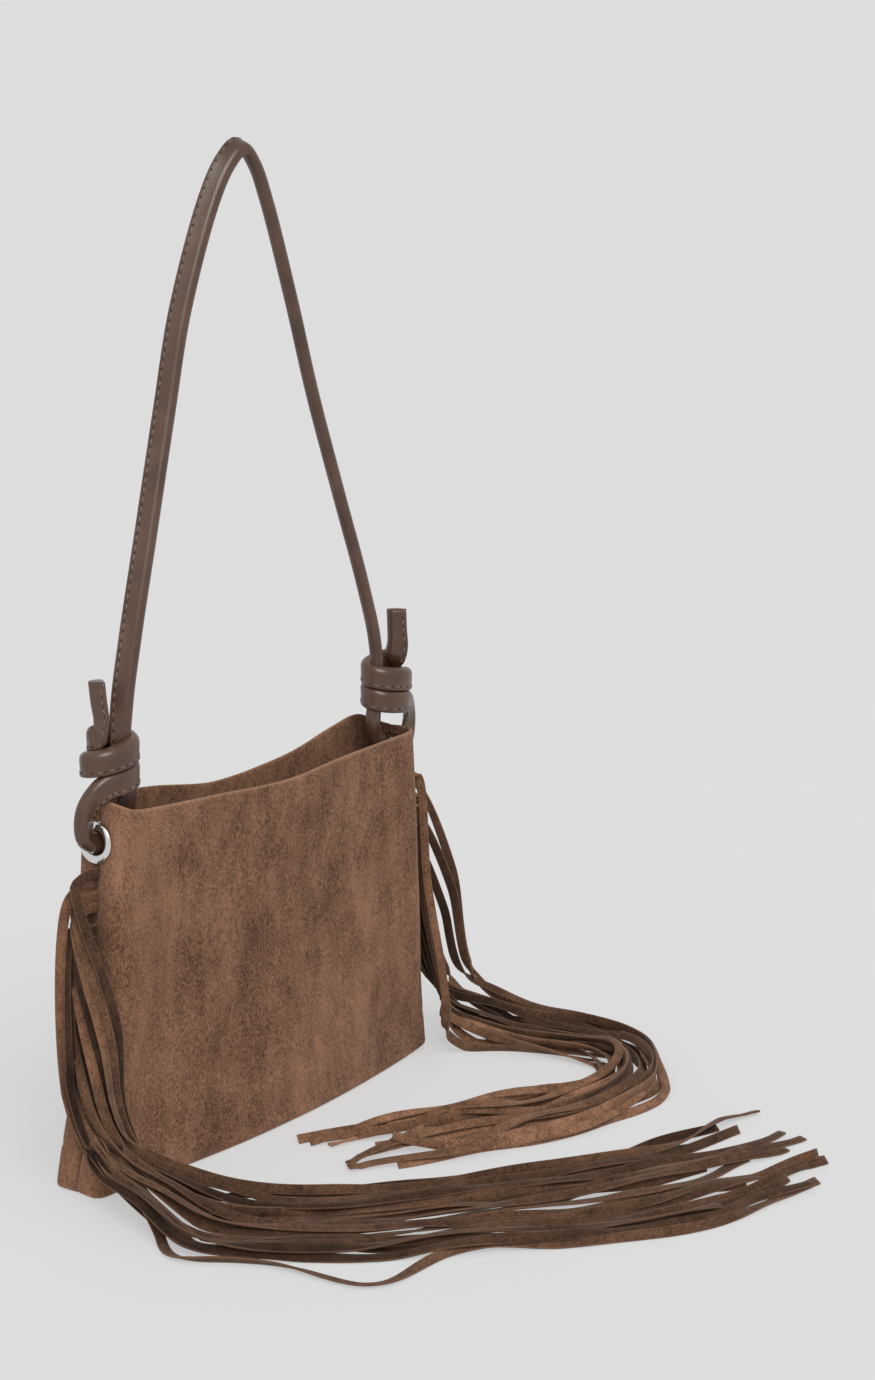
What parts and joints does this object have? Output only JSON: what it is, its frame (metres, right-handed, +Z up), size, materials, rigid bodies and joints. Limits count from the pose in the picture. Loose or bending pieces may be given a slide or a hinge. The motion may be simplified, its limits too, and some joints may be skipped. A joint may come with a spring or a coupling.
{
  "type": "fringed suede shoulder bag",
  "caption": "Slim open-topped suede pouch with a rolled leather strap knotted through side eyelets and long flat fringe laces falling from both side seams.",
  "frame": {"origin": "under the middle of the pouch's base, on the surface that it stands on", "axes": "+Z up, +X to the viewer's right along the mouth, front panel towards -Y"},
  "size_m": [0.4208, 0.3249, 0.5241],
  "materials": {
    "suede_panel": "brown brushed suede with a mottled vertical nap",
    "suede_fringe": "brown suede laces with paler cut edges",
    "strap_leather": "dark brown smooth leather with a low sheen",
    "nickel": "polished nickel"
  },
  "bodies": {
    "bag": {"front_panel": "suede_panel", "back_panel": "suede_panel", "left_eyelet": "nickel", "left_eyelet_washer": "nickel", "right_eyelet": "nickel", "right_eyelet_washer": "nickel", "left_fringe_header": "suede_fringe", "right_fringe_header": "suede_fringe", "left_lace_01": "suede_fringe", "left_lace_02": "suede_fringe", "left_lace_03": "suede_fringe", "left_lace_04": "suede_fringe", "left_lace_05": "suede_fringe", "left_lace_06": "suede_fringe", "left_lace_07": "suede_fringe", "left_lace_08": "suede_fringe", "left_lace_09": "suede_fringe", "left_lace_10": "suede_fringe", "left_lace_11": "suede_fringe", "left_lace_12": "suede_fringe", "left_lace_13": "suede_fringe", "left_lace_14": "suede_fringe", "left_lace_15": "suede_fringe", "left_lace_16": "suede_fringe", "left_lace_17": "suede_fringe", "left_lace_18": "suede_fringe", "right_lace_01": "suede_fringe", "right_lace_02": "suede_fringe", "right_lace_03": "suede_fringe", "right_lace_04": "suede_fringe", "right_lace_05": "suede_fringe", "right_lace_06": "suede_fringe", "right_lace_07": "suede_fringe", "right_lace_08": "suede_fringe", "right_lace_09": "suede_fringe", "right_lace_10": "suede_fringe", "right_lace_11": "suede_fringe", "right_lace_12": "suede_fringe", "right_lace_13": "suede_fringe", "right_lace_14": "suede_fringe", "right_lace_15": "suede_fringe", "right_lace_16": "suede_fringe", "right_lace_17": "suede_fringe", "right_lace_18": "suede_fringe"},
    "strap": {"strap": "strap_leather"}
  },
  "joints": [
    {"name": "strap_swing", "type": "hinge", "parent": "bag", "child": "strap", "pos_m": [0, 0, 0.185], "axis": [1, 0, 0], "range_deg": [-20, 20]}
  ]
}
